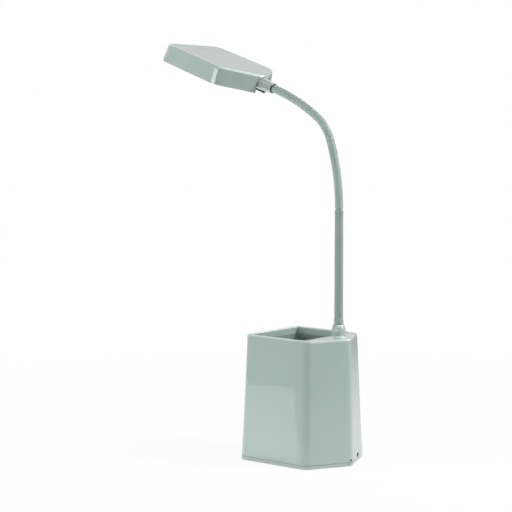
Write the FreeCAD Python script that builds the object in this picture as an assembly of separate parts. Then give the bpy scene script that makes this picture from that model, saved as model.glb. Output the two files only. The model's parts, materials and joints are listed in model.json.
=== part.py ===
import FreeCAD, Part
import math
import os

Vector = FreeCAD.Vector
X_AXIS = Vector(1, 0, 0)
Y_AXIS = Vector(0, 1, 0)
Z_AXIS = Vector(0, 0, 1)

# Desk lamp with a pen cup base. Millimetres. The lamp stands on z = 0 with its origin at the middle of
# the foot. Seen from above the base is a house-shaped pentagon: its nose, where the neck stands, points
# to +Y, and the head reaches out over -Y. The lamp is symmetric about x = 0 apart from its socket side.

# Base outline at the foot and at the rim
foot_width = 92.5
foot_depth = 85.0
foot_nose = 22.3
rim_width = 81.4
rim_depth = 78.2
rim_nose = 22.6
base_height = 125.2
base_wide_corner = 9.0
base_narrow_corner = 7.0
base_nose_corner = 6.5
least_corner = 0.8
height_tolerance_share = 0.01

# Base shell
shell_wall = 2.2
deck_thickness = 2.6
rim_band = 4.4
rim_round = 2.4
mouth_round = 1.6
lip_wall = 1.3
lip_depth = 7.0

# Pen cup
cup_deck_gap = 5.8
cup_corner = 2.5
cup_cell_gap = 2.5
cup_narrowing = 2.5
cup_floor = 2.0
cup_step_wall = 0.9
cup_step_reach = 3.0
cup_joint_gap = 0.1

# Bottom cover, its pad and its screws
pad_proud = 0.5
pad_thickness = 1.2
pad_margin = 11.0
cover_parting = 4.0
cover_plate = 2.4
cover_bevel = 0.8
parting_gap = 0.3
cover_lip_wall = 1.3
cover_lip_reach = 2.4
cover_fit_gap = 0.15
screw_post_inset = 5.6
screw_post_radius = 3.4
screw_post_height = 20.0
screw_radius = 1.4
screw_head_radius = 2.5
screw_head_height = 1.7
screw_recess = 0.5
screw_reach = 9.0
screw_slot_width = 0.8
screw_slot_depth = 0.9
screw_slot_reach_share = 0.62
shank_gap = 0.3
thread_gap = 0.05

# Counterweight and battery
weight_thickness = 3.5
weight_margin = 13.0
weight_cut_y = 22.0
cell_radius = 9.2
cell_length = 65.0
cell_button_radius = 3.0
cell_button_height = 1.2
cell_y = -12.0
tray_floor = 1.5
tray_wall = 1.6
tray_clip_height = 12.0
tray_clip_length = 8.0
tray_gap = 0.4
contact_thickness = 0.4
lead_radius = 0.6
lead_rise = 9.0
lead_run_gap = 0.4
lead_up_share = 0.2

# Charging socket, board and indicator
socket_width = 7.5
socket_height = 2.8
socket_depth = 5.6
socket_shell = 0.35
socket_round_share = 0.6
socket_z = 6.7
socket_slot_gap = 0.35
socket_recess = 0.6
tongue_width = 3.9
tongue_height = 0.6
tongue_length = 3.6
board_width = 32.0
board_depth = 19.0
board_thickness = 1.6
board_setback = 4.2
board_screw_share = 0.40
board_post_radius = 2.6
chip_sizes = [(6.0, 5.0, 1.6), (4.0, 4.0, 1.2), (5.2, 5.2, 3.0)]
chip_place_shares = [(-0.22, -0.45), (0.20, -0.30), (0.02, -0.74)]
light_radius = 1.0
light_flange_radius = 1.6
light_flange = 1.2
light_length = 7.0
light_x = 1.0
light_z = 6.2
light_proud = 0.2

# Neck socket boss on the deck
boss_foot_radius = 9.0
boss_waist_radius = 6.3
boss_belly_radius = 6.8
boss_top_radius = 5.3
boss_height = 12.9
boss_flare = 2.6
boss_belly_share = 0.58
boss_flare_out_share = 0.33
boss_flare_up_share = 0.30

# Rigid tube with its nut
neck_y = 46.8
tube_foot_radius = 4.4
tube_top_radius = 4.1
tube_bore = 2.6
tube_top_z = 245.3
tube_below_deck = 12.0
tube_thread_radius = 3.9
foot_ring_radius = 4.7
foot_ring_height = 5.0
foot_ring_groove = 0.3
washer_radius = 8.0
washer_thickness = 1.2
nut_across_flats = 12.0
nut_height = 5.0
hose_ring_radius = 4.3
hose_ring_height = 6.3
hose_ring_band = 4.4
hose_ring_groove = 0.5

# Flexible hose: bend radii and angles, from the rigid tube to the collar
low_bend_radius = 198.2
low_bend_angle = 19.46
tight_bend_radius = 44.16
tight_bend_angle = 35.65
high_bend_radius = 190.0
high_bend_angle = 17.2
root_run_share = 0.24
tight_run_share = 0.5
high_run_share = 0.5
hose_radius = 4.0
hose_core_radius = 2.9
hose_skin_gap = 0.05
lead_hole_radius = 0.9
station_ball_radius = 2.2
station_ball_gap = 0.08
station_gap_angle = 14.0
hose_tail = 10.0

# Collar and tilt hinge
collar_seam_gap = 0.5
collar_small_radius = 5.1
collar_large_radius = 6.4
collar_taper_length = 13.5
collar_edge_round = 0.5
hose_in_collar = 6.0
hose_fit_gap = 0.05
seal_ring_radius = 4.8
seal_ring_width = 1.0
pivot_reach = 31.6
pivot_pin_radius = 1.5
pivot_running_gap = 0.05
knuckle_radius = 4.6
knuckle_half_width = 3.0
knuckle_start = 6.2
knuckle_tongue_share = 0.85
washer_gap = 0.05
tilt_washer_thickness = 0.25
tilt_washer_radius = 4.2
ear_thickness = 2.4
ear_radius = 5.0
ear_reach = 18.0
ear_drop = 3.0
ear_slot_gap = 0.3
bracket_plate_low = 0.9
bracket_plate_thickness = 1.5
bracket_plate_start = 9.0

# Lamp head, in its own frame: the tilt pivot at the origin, level, reaching to -Y
head_top_wide = 87.2
head_top_narrow = 80.7
head_top_depth = 76.0
head_top_nose = 27.4
head_foot_width = 90.2
head_foot_narrow = 83.4
head_foot_depth = 78.6
head_foot_nose = 28.3
head_centre_y = -50.7
head_roll_angle = -3.15
head_above_pivot = 8.0
head_below_pivot = 10.15
head_corner = 9.7
head_nose_corner = 10.7
head_wall = 2.0
head_edge_round = 3.2
slot_half_width = 6.9
slot_end = 20.0
slot_open = 9.0
slot_wall = 1.4
liner_thickness = 0.5
liner_gap = 0.3

# Head fittings
bezel_thickness = 1.8
bezel_recess = 0.4
bezel_gap = 0.25
window_margin = 9.2
window_corner = 4.0
window_nose_gap = 14.0
diffuser_overlap = 2.0
diffuser_thickness = 1.5
diffuser_light_gap = 5.0
led_board_thickness = 1.2
led_board_margin = 3.0
led_rows = 5
led_columns = 7
led_length = 3.5
led_width = 2.8
led_height = 0.8
led_field_share = 0.78
head_post_radius = 2.4
head_screw_radius = 1.0
head_screw_head_radius = 1.9
head_screw_head_height = 1.0
head_screw_length = 5.5
head_screw_reach = 3.5
head_screw_spread_share = 0.30
touch_disc_radius = 6.0
touch_disc_thickness = 0.4
touch_disc_y = -74.0
touch_board_size = 14.0
touch_board_thickness = 1.0
touch_board_gap = 1.4
touch_spring_radius = 1.6

overrun = 2.0


# Outline helpers

def inset_polygon(points, insets):
    """Move each edge of a counterclockwise polygon inwards by its own distance."""
    count = len(points)
    lines = []
    for index in range(count):
        start = points[index]
        end = points[(index + 1) % count]
        length = math.hypot(end[0] - start[0], end[1] - start[1])
        along = ((end[0] - start[0]) / length, (end[1] - start[1]) / length)
        inward = (-along[1], along[0])
        moved = (start[0] + inward[0] * insets[index], start[1] + inward[1] * insets[index])
        lines.append((moved, along))
    corners = []
    for index in range(count):
        first_point, first_along = lines[index - 1]
        second_point, second_along = lines[index]
        cross = first_along[0] * second_along[1] - first_along[1] * second_along[0]
        gap = (second_point[0] - first_point[0], second_point[1] - first_point[1])
        reach = (gap[0] * second_along[1] - gap[1] * second_along[0]) / cross
        corners.append((first_point[0] + first_along[0] * reach, first_point[1] + first_along[1] * reach))
    return corners


def rounded_wire(points, radii, z):
    """Closed wire through a convex polygon whose corners are rounded, at height z."""
    count = len(points)
    stops = []
    for index in range(count):
        corner = Vector(points[index][0], points[index][1], z)
        before = Vector(points[index - 1][0], points[index - 1][1], z)
        after = Vector(points[(index + 1) % count][0], points[(index + 1) % count][1], z)
        back = (before - corner).normalize()
        ahead = (after - corner).normalize()
        half_angle = back.getAngle(ahead) / 2
        tangent = radii[index] / math.tan(half_angle)
        middle = (back + ahead).normalize()
        centre = corner + middle * (radii[index] / math.sin(half_angle))
        stops.append((corner + back * tangent, centre - middle * radii[index], corner + ahead * tangent))
    edges = []
    for index in range(count):
        start, crest, end = stops[index]
        edges.append(Part.Arc(start, crest, end).toShape())
        edges.append(Part.LineSegment(end, stops[(index + 1) % count][0]).toShape())
    return Part.Wire(edges)


def house_points(wide, narrow, depth, nose):
    """Five-sided outline, counterclockwise from the narrow end's +X corner; the nose points to +Y."""
    return [
        (narrow / 2, -depth / 2),
        (wide / 2, depth / 2),
        (0, depth / 2 + nose),
        (-wide / 2, depth / 2),
        (-narrow / 2, -depth / 2),
    ]


class FlaredHouse:
    """House-shaped block whose outline changes evenly from a low height to a high one."""

    def __init__(self, low_points, low_z, high_points, high_z, radii, centre_y):
        self.low_points = low_points
        self.low_z = low_z
        self.high_points = high_points
        self.high_z = high_z
        self.radii = radii
        self.centre_y = centre_y

    def points(self, z):
        share = (z - self.low_z) / (self.high_z - self.low_z)
        pairs = zip(self.low_points, self.high_points)
        return [
            (low[0] + (high[0] - low[0]) * share, self.centre_y + low[1] + (high[1] - low[1]) * share)
            for low, high in pairs
        ]

    def wire(self, z, inset):
        points = inset_polygon(self.points(z), [inset] * len(self.radii))
        radii = [max(radius - inset, least_corner) for radius in self.radii]
        return rounded_wire(points, radii, z)

    def block(self, low_z, high_z, inset):
        return Part.makeLoft([self.wire(low_z, inset), self.wire(high_z, inset)], True, True)


def box_between(low, high):
    size = high - low
    return Part.makeBox(size.x, size.y, size.z, low)


def cylinder(radius, low, height, axis=Z_AXIS):
    return Part.makeCylinder(radius, height, low, axis)


def fuse_all(shapes):
    joined = shapes[0]
    for shape in shapes[1:]:
        joined = joined.fuse(shape)
    return joined.removeSplitter()


def turned_profile(points, centre):
    """Solid of revolution about the vertical line through centre, from (radius, height) points."""
    places = [Vector(centre.x + radius, centre.y, centre.z + height) for radius, height in points]
    face = Part.Face(Part.makePolygon(places + [places[0]]))
    return face.revolve(centre, Z_AXIS, 360)


def edges_at_height(shape, z):
    """Edges that lie flat at height z."""
    tolerance = least_corner * height_tolerance_share
    found = []
    for edge in shape.Edges:
        bounds = edge.BoundBox
        if abs(bounds.ZMin - z) < tolerance and abs(bounds.ZMax - z) < tolerance:
            found.append(edge)
    return found


def screw(head_radius, head_height, shank_radius, length, slot_width, slot_depth):
    """Cross-slotted screw, head underneath and shank upwards, the head's lower face at z = 0."""
    head = cylinder(head_radius, Vector(0, 0, 0), head_height)
    shank = cylinder(shank_radius, Vector(0, 0, head_height), length)
    arm = head_radius * screw_slot_reach_share
    first = box_between(Vector(-arm, -slot_width / 2, -overrun), Vector(arm, slot_width / 2, slot_depth))
    second = box_between(Vector(-slot_width / 2, -arm, -overrun), Vector(slot_width / 2, arm, slot_depth))
    return head.fuse(shank).cut(first).cut(second)


def moved(shape, place):
    copy = shape.copy()
    copy.translate(place)
    return copy


nodes = {}


# Base

base = FlaredHouse(
    house_points(foot_width, foot_width, foot_depth, foot_nose), 0,
    house_points(rim_width, rim_width, rim_depth, rim_nose), base_height,
    [base_narrow_corner, base_wide_corner, base_nose_corner, base_wide_corner, base_narrow_corner], 0,
)
shell_foot_z = cover_parting + parting_gap
deck_under_z = base_height - deck_thickness
lip_end_z = base_height - lip_depth
weight_low_z = pad_proud + cover_plate
weight_top_z = weight_low_z + weight_thickness
tray_top_z = weight_top_z + tray_floor
cell_z = tray_top_z + cell_radius + tray_gap
cup_under_z = cell_z + cell_radius + cup_cell_gap
cup_floor_z = cup_under_z + cup_floor
cup_depth = base_height - cup_floor_z


def cup_wire(z, outset):
    """Outline of the pen cup's opening at height z, moved outwards by outset."""
    narrow_right, wide_right, nose, wide_left, narrow_left = base.points(base_height)
    draft = cup_narrowing * (base_height - z) / cup_depth
    side = rim_band + draft - outset
    deck_side = cup_deck_gap + draft - outset
    points = inset_polygon([narrow_right, wide_right, wide_left, narrow_left], [side, deck_side, side, side])
    return rounded_wire(points, [cup_corner + outset] * len(points), z)


def cup_block(low_z, high_z, outset):
    return Part.makeLoft([cup_wire(low_z, outset), cup_wire(high_z, outset)], True, True)


cover_screw_corners = inset_polygon(base.points(0), [screw_post_inset] * 5)
cover_screw_places = [cover_screw_corners[index] for index in (0, 1, 3, 4)]


def in_socket_frame(shape):
    """Place a shape drawn with the socket's wall as its local +Y face, at the middle of that wall."""
    nose_point, wide_point = base.points(socket_z)[2:4]
    middle = Vector((nose_point[0] + wide_point[0]) / 2, (nose_point[1] + wide_point[1]) / 2, 0)
    along = Vector(nose_point[0] - wide_point[0], nose_point[1] - wide_point[1], 0)
    placed = shape.copy()
    placed.Placement = FreeCAD.Placement(middle, FreeCAD.Rotation(X_AXIS, along)).multiply(placed.Placement)
    return placed


def socket_body(grow, depth):
    """Rounded bar the size of the socket's shell, grown all round, running inwards from the wall."""
    half_width = socket_width / 2 + grow
    half_height = socket_height / 2 + grow
    low = Vector(-half_width, -depth, socket_z - half_height)
    bar = box_between(low, Vector(half_width, 0, socket_z + half_height))
    long_edges = [edge for edge in bar.Edges if edge.BoundBox.YLength > depth / 2]
    return bar.makeFillet(half_height * socket_round_share, long_edges)


def rim_edges(solid, mouth, inside):
    """Edges of the flat rim that lie inside the block round the cup's mouth, or those outside it."""
    tolerance = least_corner * height_tolerance_share
    edges = edges_at_height(solid, base_height)
    return [edge for edge in edges if mouth.isInside(edge.CenterOfMass, tolerance, True) == inside]


def make_base_shell():
    outer = base.block(shell_foot_z, base_height, 0)
    opening = cup_block(lip_end_z - overrun, base_height + overrun, 0)
    solid = outer.cut(opening)
    mouth = cup_block(lip_end_z, base_height + overrun, rim_band / 2)
    solid = solid.makeFillet(mouth_round, rim_edges(solid, mouth, True))
    solid = solid.makeFillet(rim_round, rim_edges(solid, mouth, False))
    cavity = base.block(shell_foot_z - overrun, deck_under_z, shell_wall)
    lip = cup_block(lip_end_z, base_height + overrun, lip_wall)
    shell = solid.cut(cavity.cut(lip))
    post_height = screw_post_height
    inner = base.block(shell_foot_z, shell_foot_z + post_height, shell_wall / 2)
    for x, y in cover_screw_places:
        post = cylinder(screw_post_radius, Vector(x, y, shell_foot_z), post_height).common(inner)
        bore = cylinder(screw_radius + thread_gap, Vector(x, y, shell_foot_z - overrun),
                        screw_reach + 2 * overrun)
        shell = shell.fuse(post).cut(bore)
    boss = boss_profile().common(box_between(
        Vector(-rim_width, 0, deck_under_z), Vector(rim_width, rim_width, base_height + 2 * boss_height)))
    shell = shell.fuse(boss)
    shell = shell.cut(cylinder(tube_foot_radius + thread_gap, Vector(0, neck_y, deck_under_z - overrun),
                               deck_thickness + boss_height + 2 * overrun))
    slot = moved(socket_body(socket_slot_gap, 3 * shell_wall), Vector(0, shell_wall, 0))
    shell = shell.cut(in_socket_frame(slot))
    light_hole = cylinder(light_radius + thread_gap, Vector(light_x, neck_y, light_z), foot_width, Y_AXIS)
    return shell.cut(light_hole).removeSplitter()


def boss_profile():
    """Barrel-shaped boss with a flared foot that blends into the deck."""
    waist_z = boss_flare
    belly_z = boss_height * boss_belly_share
    foot = Vector(boss_foot_radius, 0, 0)
    flare_mid = Vector(boss_waist_radius + boss_flare * boss_flare_out_share, 0,
                       boss_flare * boss_flare_up_share)
    waist = Vector(boss_waist_radius, 0, waist_z)
    belly = Vector(boss_belly_radius, 0, belly_z)
    crest = Vector(boss_top_radius, 0, boss_height)
    bottom = Vector(0, 0, -deck_thickness)
    rim = Vector(boss_foot_radius, 0, -deck_thickness)
    top = Vector(0, 0, boss_height)
    edges = [
        Part.LineSegment(bottom, rim).toShape(),
        Part.LineSegment(rim, foot).toShape(),
        Part.Arc(foot, flare_mid, waist).toShape(),
        Part.Arc(waist, belly, crest).toShape(),
        Part.LineSegment(crest, top).toShape(),
        Part.LineSegment(top, bottom).toShape(),
    ]
    face = Part.Face(Part.Wire(edges))
    return moved(face.revolve(Vector(0, 0, 0), Z_AXIS, 360), Vector(0, neck_y, base_height))


def make_pen_cup():
    top_z = lip_end_z - cup_joint_gap
    body = cup_block(cup_under_z, top_z, lip_wall)
    step_outset = lip_wall + cup_joint_gap
    step = cup_block(top_z - cup_step_reach, top_z + cup_step_reach, step_outset + cup_step_wall)
    step = step.cut(cup_block(top_z, top_z + cup_step_reach + overrun, step_outset))
    hollow = cup_block(cup_floor_z, top_z + cup_step_reach + overrun, 0)
    return body.fuse(step).cut(hollow).removeSplitter()


def make_bottom_cover():
    """Cover plate with a raised rim, a lip that reaches up into the shell, and its screw pillars."""
    plate_top = pad_proud + cover_plate
    bevel_z = pad_proud + cover_bevel
    lip_outer = shell_wall + cover_fit_gap
    lip_top = cover_parting + cover_lip_reach
    bevel = Part.makeLoft([base.wire(pad_proud, cover_bevel), base.wire(bevel_z, 0)], True, True)
    cover = bevel.fuse(base.block(bevel_z, cover_parting, 0))
    cover = cover.fuse(base.block(plate_top - cover_plate / 2, lip_top, lip_outer))
    cover = cover.cut(base.block(plate_top, lip_top + overrun, lip_outer + cover_lip_wall))
    for x, y in cover_screw_places:
        room = cylinder(screw_post_radius + shank_gap, Vector(x, y, cover_parting),
                        cover_lip_reach + overrun)
        cover = cover.cut(room)
    cover = cover.cut(in_socket_frame(socket_body(2 * socket_slot_gap, board_depth)))
    light_room = cylinder(light_flange_radius + shank_gap, Vector(light_x, neck_y, light_z), foot_width,
                          Y_AXIS)
    cover = cover.cut(light_room)
    cover = cover.cut(base.block(pad_proud - overrun, pad_thickness, pad_margin))
    for x, y in cover_screw_places:
        pillar = cylinder(screw_post_radius, Vector(x, y, bevel_z), cover_parting - bevel_z)
        head_room = cylinder(screw_head_radius + shank_gap, Vector(x, y, pad_proud - overrun),
                             overrun + screw_recess + screw_head_height)
        shank_room = cylinder(screw_radius + shank_gap, Vector(x, y, pad_proud), cover_parting + overrun)
        cover = cover.fuse(pillar).cut(head_room).cut(shank_room)
    for post in board_posts():
        cover = cover.fuse(post)
    return cover.removeSplitter()


board_low_z = socket_z + socket_height / 2
board_top_z = board_low_z + board_thickness
board_screw_x = board_width * board_screw_share
board_screw_y = -board_setback - board_depth / 2


def board_posts():
    """Two posts on the cover that carry the board."""
    posts = []
    for side in (-1, 1):
        place = Vector(side * board_screw_x, board_screw_y, pad_proud + cover_plate / 2)
        height = board_low_z - place.z
        post = cylinder(board_post_radius, place, height)
        bore_low = place + Z_AXIS * (cover_plate / 2 + thread_gap)
        bore = cylinder(head_screw_radius + thread_gap, bore_low, height)
        posts.append(in_socket_frame(post.cut(bore)))
    return posts


def make_grip_pad():
    return base.block(0, pad_thickness, pad_margin + cover_fit_gap)


def make_cover_screws():
    one = screw(screw_head_radius, screw_head_height, screw_radius, screw_reach, screw_slot_width,
                screw_slot_depth)
    places = [Vector(x, y, pad_proud + screw_recess) for x, y in cover_screw_places]
    return Part.makeCompound([moved(one, place) for place in places])


tray_half_length = cell_length / 2 + cell_button_height + contact_thickness + tray_wall
tray_half_width = cell_radius + tray_gap + tray_wall


def make_counterweight():
    plate = base.block(weight_low_z, weight_top_z, weight_margin)
    keep = box_between(Vector(-foot_width, -foot_width, 0), Vector(foot_width, weight_cut_y, base_height))
    return plate.common(keep)


def make_battery_tray():
    floor = box_between(Vector(-tray_half_length, cell_y - tray_half_width, weight_top_z),
                        Vector(tray_half_length, cell_y + tray_half_width, tray_top_z))
    pieces = [floor]
    for side in (-1, 1):
        near = side * (tray_half_length - tray_wall)
        far = side * tray_half_length
        pieces.append(box_between(Vector(min(near, far), cell_y - tray_half_width, weight_top_z),
                                  Vector(max(near, far), cell_y + tray_half_width, cell_z)))
        clip_x = side * cell_length / 4
        block = box_between(Vector(clip_x - tray_clip_length / 2, cell_y - tray_half_width, weight_top_z),
                            Vector(clip_x + tray_clip_length / 2, cell_y + tray_half_width,
                                   tray_top_z + tray_clip_height))
        room = cylinder(cell_radius + tray_gap, Vector(-cell_length, cell_y, cell_z), 2 * cell_length,
                        X_AXIS)
        pieces.append(block.cut(room))
    return fuse_all(pieces)


def make_battery_cell():
    can = cylinder(cell_radius, Vector(-cell_length / 2, cell_y, cell_z), cell_length, X_AXIS)
    button = cylinder(cell_button_radius, Vector(cell_length / 2, cell_y, cell_z), cell_button_height,
                      X_AXIS)
    return can.makeFillet(cell_button_height, [edge for edge in can.Edges if edge.Closed]).fuse(button)


contact_half_width = cell_button_radius + tray_gap
contact_outer_x = tray_half_length - tray_wall


def make_battery_contacts():
    """A plate at each end of the cell; the one at the flat end has a raised pip that reaches the cell."""
    plates = []
    for side in (-1, 1):
        near = side * contact_outer_x
        far = near - side * contact_thickness
        plates.append(box_between(Vector(min(near, far), cell_y - contact_half_width, tray_top_z + tray_gap),
                                  Vector(max(near, far), cell_y + contact_half_width,
                                         cell_z + contact_half_width)))
    pip = cylinder(cell_button_radius, Vector(-contact_outer_x, cell_y, cell_z),
                   contact_thickness + cell_button_height, X_AXIS)
    plates[0] = plates[0].fuse(pip).removeSplitter()
    return Part.makeCompound(plates)


def make_main_board():
    low = Vector(-board_width / 2, -board_setback - board_depth, board_low_z)
    board = box_between(low, Vector(board_width / 2, -board_setback, board_top_z))
    for side in (-1, 1):
        hole = cylinder(head_screw_radius + shank_gap,
                        Vector(side * board_screw_x, board_screw_y, board_low_z - overrun),
                        board_thickness + 2 * overrun)
        board = board.cut(hole)
    return in_socket_frame(board)


def make_board_screws():
    one = screw(head_screw_head_radius, head_screw_head_height, head_screw_radius,
                board_thickness + board_low_z - weight_low_z - shank_gap, screw_slot_width / 2,
                screw_slot_depth / 2)
    one.rotate(Vector(0, 0, 0), X_AXIS, 180)
    top = board_top_z + head_screw_head_height
    placed = []
    for side in (-1, 1):
        placed.append(in_socket_frame(moved(one, Vector(side * board_screw_x, board_screw_y, top))))
    return Part.makeCompound(placed)


def make_usb_socket():
    outer = moved(socket_body(0, socket_depth), Vector(0, -socket_recess, 0))
    inner = moved(socket_body(-socket_shell, socket_depth - socket_shell + overrun),
                  Vector(0, overrun - socket_recess, 0))
    return in_socket_frame(outer.cut(inner))


def make_usb_tongue():
    back = -socket_recess - socket_depth + socket_shell
    tongue = box_between(Vector(-tongue_width / 2, back, socket_z - tongue_height / 2),
                         Vector(tongue_width / 2, back + tongue_length, socket_z + tongue_height / 2))
    return in_socket_frame(tongue)


def make_board_chips():
    chips = []
    for (width, depth, height), (x_share, y_share) in zip(chip_sizes, chip_place_shares):
        centre = Vector(board_width * x_share, -board_setback + board_depth * y_share, board_top_z)
        half = Vector(width / 2, depth / 2, 0)
        chips.append(in_socket_frame(box_between(centre - half, centre + half + Vector(0, 0, height))))
    return Part.makeCompound(chips)


def nose_face_y():
    """How far the outer face of the rounded nose reaches at the indicator's place and height."""
    outline = base.wire(light_z, 0)
    probe = Part.LineSegment(Vector(light_x, 0, light_z), Vector(light_x, foot_width, light_z)).toShape()
    return max(pair[0].y for pair in outline.distToShape(probe)[1])


def make_charge_light():
    tip_y = nose_face_y() + light_proud
    rod = cylinder(light_radius, Vector(light_x, tip_y - light_length, light_z), light_length, Y_AXIS)
    flange_y = tip_y - light_length
    flange = cylinder(light_flange_radius, Vector(light_x, flange_y, light_z), light_flange, Y_AXIS)
    return rod.fuse(flange)


def bent_lead(places):
    """Round lead through a list of places, with rounded elbows."""
    pieces = []
    for start, end in zip(places[:-1], places[1:]):
        pieces.append(cylinder(lead_radius, start, (end - start).Length, end - start))
    for place in places[1:-1]:
        pieces.append(Part.makeSphere(lead_radius, place))
    return fuse_all(pieces)


def socket_point(x, y, z):
    """A place given in the socket wall's own frame."""
    return in_socket_frame(Part.Vertex(Vector(x, y, z))).Vertexes[0].Point


def make_base_leads():
    """Two leads from the cell's contacts to the board, and one from the board up through the tube."""
    leads = []
    solder_y = lead_radius * 2 - board_setback - board_depth
    run_z = cup_under_z - lead_run_gap - lead_radius
    for side in (-1, 1):
        start = Vector(side * (contact_outer_x + lead_radius), cell_y, cell_z + tray_gap)
        solder = socket_point(side * board_width / 4, solder_y, board_top_z)
        leads.append(bent_lead([
            start, Vector(start.x, start.y, run_z), Vector(solder.x, solder.y, run_z), solder,
        ]))
    solder = socket_point(0, -board_setback - board_depth * lead_up_share, board_top_z)
    turn_z = deck_under_z - tube_below_deck - lead_rise
    leads.append(bent_lead([
        solder, Vector(solder.x, solder.y, turn_z), Vector(0, neck_y, turn_z),
        Vector(0, neck_y, tube_top_z + hose_ring_height),
    ]))
    return Part.makeCompound(leads)


def add_base():
    nodes["base_shell"] = make_base_shell()
    nodes["pen_cup"] = make_pen_cup()
    nodes["bottom_cover"] = make_bottom_cover()
    nodes["grip_pad"] = make_grip_pad()
    nodes["cover_screws"] = make_cover_screws()
    nodes["counterweight"] = make_counterweight()
    nodes["battery_tray"] = make_battery_tray()
    nodes["battery_cell"] = make_battery_cell()
    nodes["battery_contacts"] = make_battery_contacts()
    nodes["main_board"] = make_main_board()
    nodes["board_screws"] = make_board_screws()
    nodes["board_chips"] = make_board_chips()
    nodes["usb_socket"] = make_usb_socket()
    nodes["usb_tongue"] = make_usb_tongue()
    nodes["charge_light"] = make_charge_light()
    nodes["base_leads"] = make_base_leads()


# Rigid tube, with the nut that clamps it to the deck

boss_top_z = base_height + boss_height


def make_neck_tube():
    foot = Vector(0, neck_y, 0)
    low_z = deck_under_z - tube_below_deck
    profile = [
        (tube_bore, low_z), (tube_thread_radius, low_z), (tube_thread_radius, deck_under_z),
        (tube_foot_radius, deck_under_z), (tube_foot_radius, boss_top_z), (tube_top_radius, tube_top_z),
        (tube_bore, tube_top_z),
    ]
    return turned_profile(profile, foot)


def make_neck_foot_ring():
    low = boss_top_z + foot_ring_groove
    high = low + foot_ring_height
    bore = tube_foot_radius + thread_gap
    profile = [(bore, low), (foot_ring_radius, low), (foot_ring_radius, high - foot_ring_groove),
               (foot_ring_radius - foot_ring_groove / 2, high), (bore, high)]
    return turned_profile(profile, Vector(0, neck_y, 0))


def make_neck_washer():
    low = deck_under_z - washer_thickness
    bore = tube_thread_radius + thread_gap
    profile = [(bore, low), (washer_radius, low), (washer_radius, deck_under_z), (bore, deck_under_z)]
    return turned_profile(profile, Vector(0, neck_y, 0))


def make_neck_nut():
    high = deck_under_z - washer_thickness
    radius = nut_across_flats / 2 / math.cos(math.radians(30))
    corners = []
    for index in range(7):
        angle = math.radians(60 * index)
        corners.append(Vector(radius * math.cos(angle), neck_y + radius * math.sin(angle),
                              high - nut_height))
    block = Part.Face(Part.makePolygon(corners)).extrude(Z_AXIS * nut_height)
    bore = cylinder(tube_thread_radius + thread_gap, Vector(0, neck_y, high - nut_height - overrun),
                    nut_height + 2 * overrun)
    return block.cut(bore)


def make_hose_ring():
    """Ring that carries the hose: a band with a groove at its foot and a narrower neck above it."""
    neck_radius = hose_radius - hose_ring_groove
    profile = [
        (tube_bore, 0), (tube_top_radius - hose_ring_groove, 0),
        (tube_top_radius - hose_ring_groove, hose_ring_groove), (hose_ring_radius, hose_ring_groove),
        (hose_ring_radius, hose_ring_band - hose_ring_groove),
        (hose_ring_radius - hose_ring_groove, hose_ring_band), (neck_radius, hose_ring_band),
        (neck_radius, hose_ring_height), (tube_bore, hose_ring_height),
    ]
    return turned_profile(profile, Vector(0, neck_y, tube_top_z))


def add_tube():
    nodes["neck_tube"] = make_neck_tube()
    nodes["neck_foot_ring"] = make_neck_foot_ring()
    nodes["neck_washer"] = make_neck_washer()
    nodes["neck_nut"] = make_neck_nut()
    nodes["hose_ring"] = make_hose_ring()


# Flexible hose: runs between bending stations, all in the plane x = 0

class Run:
    """Arc or straight stretch of the neck, from a start point with a lean from the vertical."""

    def __init__(self, start, lean, radius, turn, length=0):
        self.start = start
        self.lean = lean
        self.radius = radius
        self.turn = turn
        self.length = length

    def direction(self, lean):
        return Vector(0, -math.sin(math.radians(lean)), math.cos(math.radians(lean)))

    def end(self):
        if not self.turn:
            return self.start + self.direction(self.lean) * self.length
        centre = self.centre()
        spoke = self.start - centre
        return centre + FreeCAD.Rotation(X_AXIS, self.turn).multVec(spoke)

    def centre(self):
        lean = math.radians(self.lean)
        return self.start + Vector(0, -math.cos(lean), -math.sin(lean)) * self.radius

    def end_lean(self):
        return self.lean + self.turn

    def rod(self, radius):
        ring = Part.Wire([Part.makeCircle(radius, self.start, self.direction(self.lean))])
        face = Part.Face(ring)
        if not self.turn:
            return face.extrude(self.direction(self.lean) * self.length)
        return face.revolve(self.centre(), X_AXIS, self.turn)


def neck_runs():
    """One list of runs for each rigid stretch of the hose, from the tube to the collar."""
    after_root = (1 - root_run_share) / 2
    pieces = [
        (low_bend_radius, low_bend_angle * root_run_share),
        (low_bend_radius, low_bend_angle * after_root),
        (low_bend_radius, low_bend_angle * after_root),
        (tight_bend_radius, tight_bend_angle * tight_run_share),
        (tight_bend_radius, tight_bend_angle * (1 - tight_run_share)),
        (high_bend_radius, high_bend_angle * high_run_share),
        (high_bend_radius, high_bend_angle * (1 - high_run_share)),
    ]
    start = Vector(0, neck_y, tube_top_z + hose_ring_height)
    lean = 0
    runs = []
    for radius, turn in pieces:
        run = Run(start, lean, radius, turn)
        runs.append([run])
        start = run.end()
        lean = run.end_lean()
    runs[-1].append(Run(start, lean, 0, 0, hose_tail))
    return runs


hose_runs = neck_runs()
hose_end = hose_runs[-1][0].end()
hose_end_lean = hose_runs[-1][0].end_lean()
hose_end_direction = hose_runs[-1][-1].direction(hose_end_lean)
pivot_point = hose_end + hose_end_direction * pivot_reach


def at_station(shape, point, lean):
    """Move a shape drawn upright at the origin to a station on the neck."""
    placed = shape.copy()
    placed.Placement = FreeCAD.Placement(point, FreeCAD.Rotation(X_AXIS, lean))
    return placed


def station_wedge(side):
    """Cone-shaped gap on one side of a station, side 1 beyond it and side -1 before it."""
    reach = hose_radius + overrun
    rise = side * reach * math.tan(math.radians(station_gap_angle))
    origin = Vector(0, 0, 0)
    profile = Part.makePolygon([origin, Vector(reach, 0, 0), Vector(reach, 0, rise), origin])
    return Part.Face(profile).revolve(Vector(0, 0, 0), Z_AXIS, 360)


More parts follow.
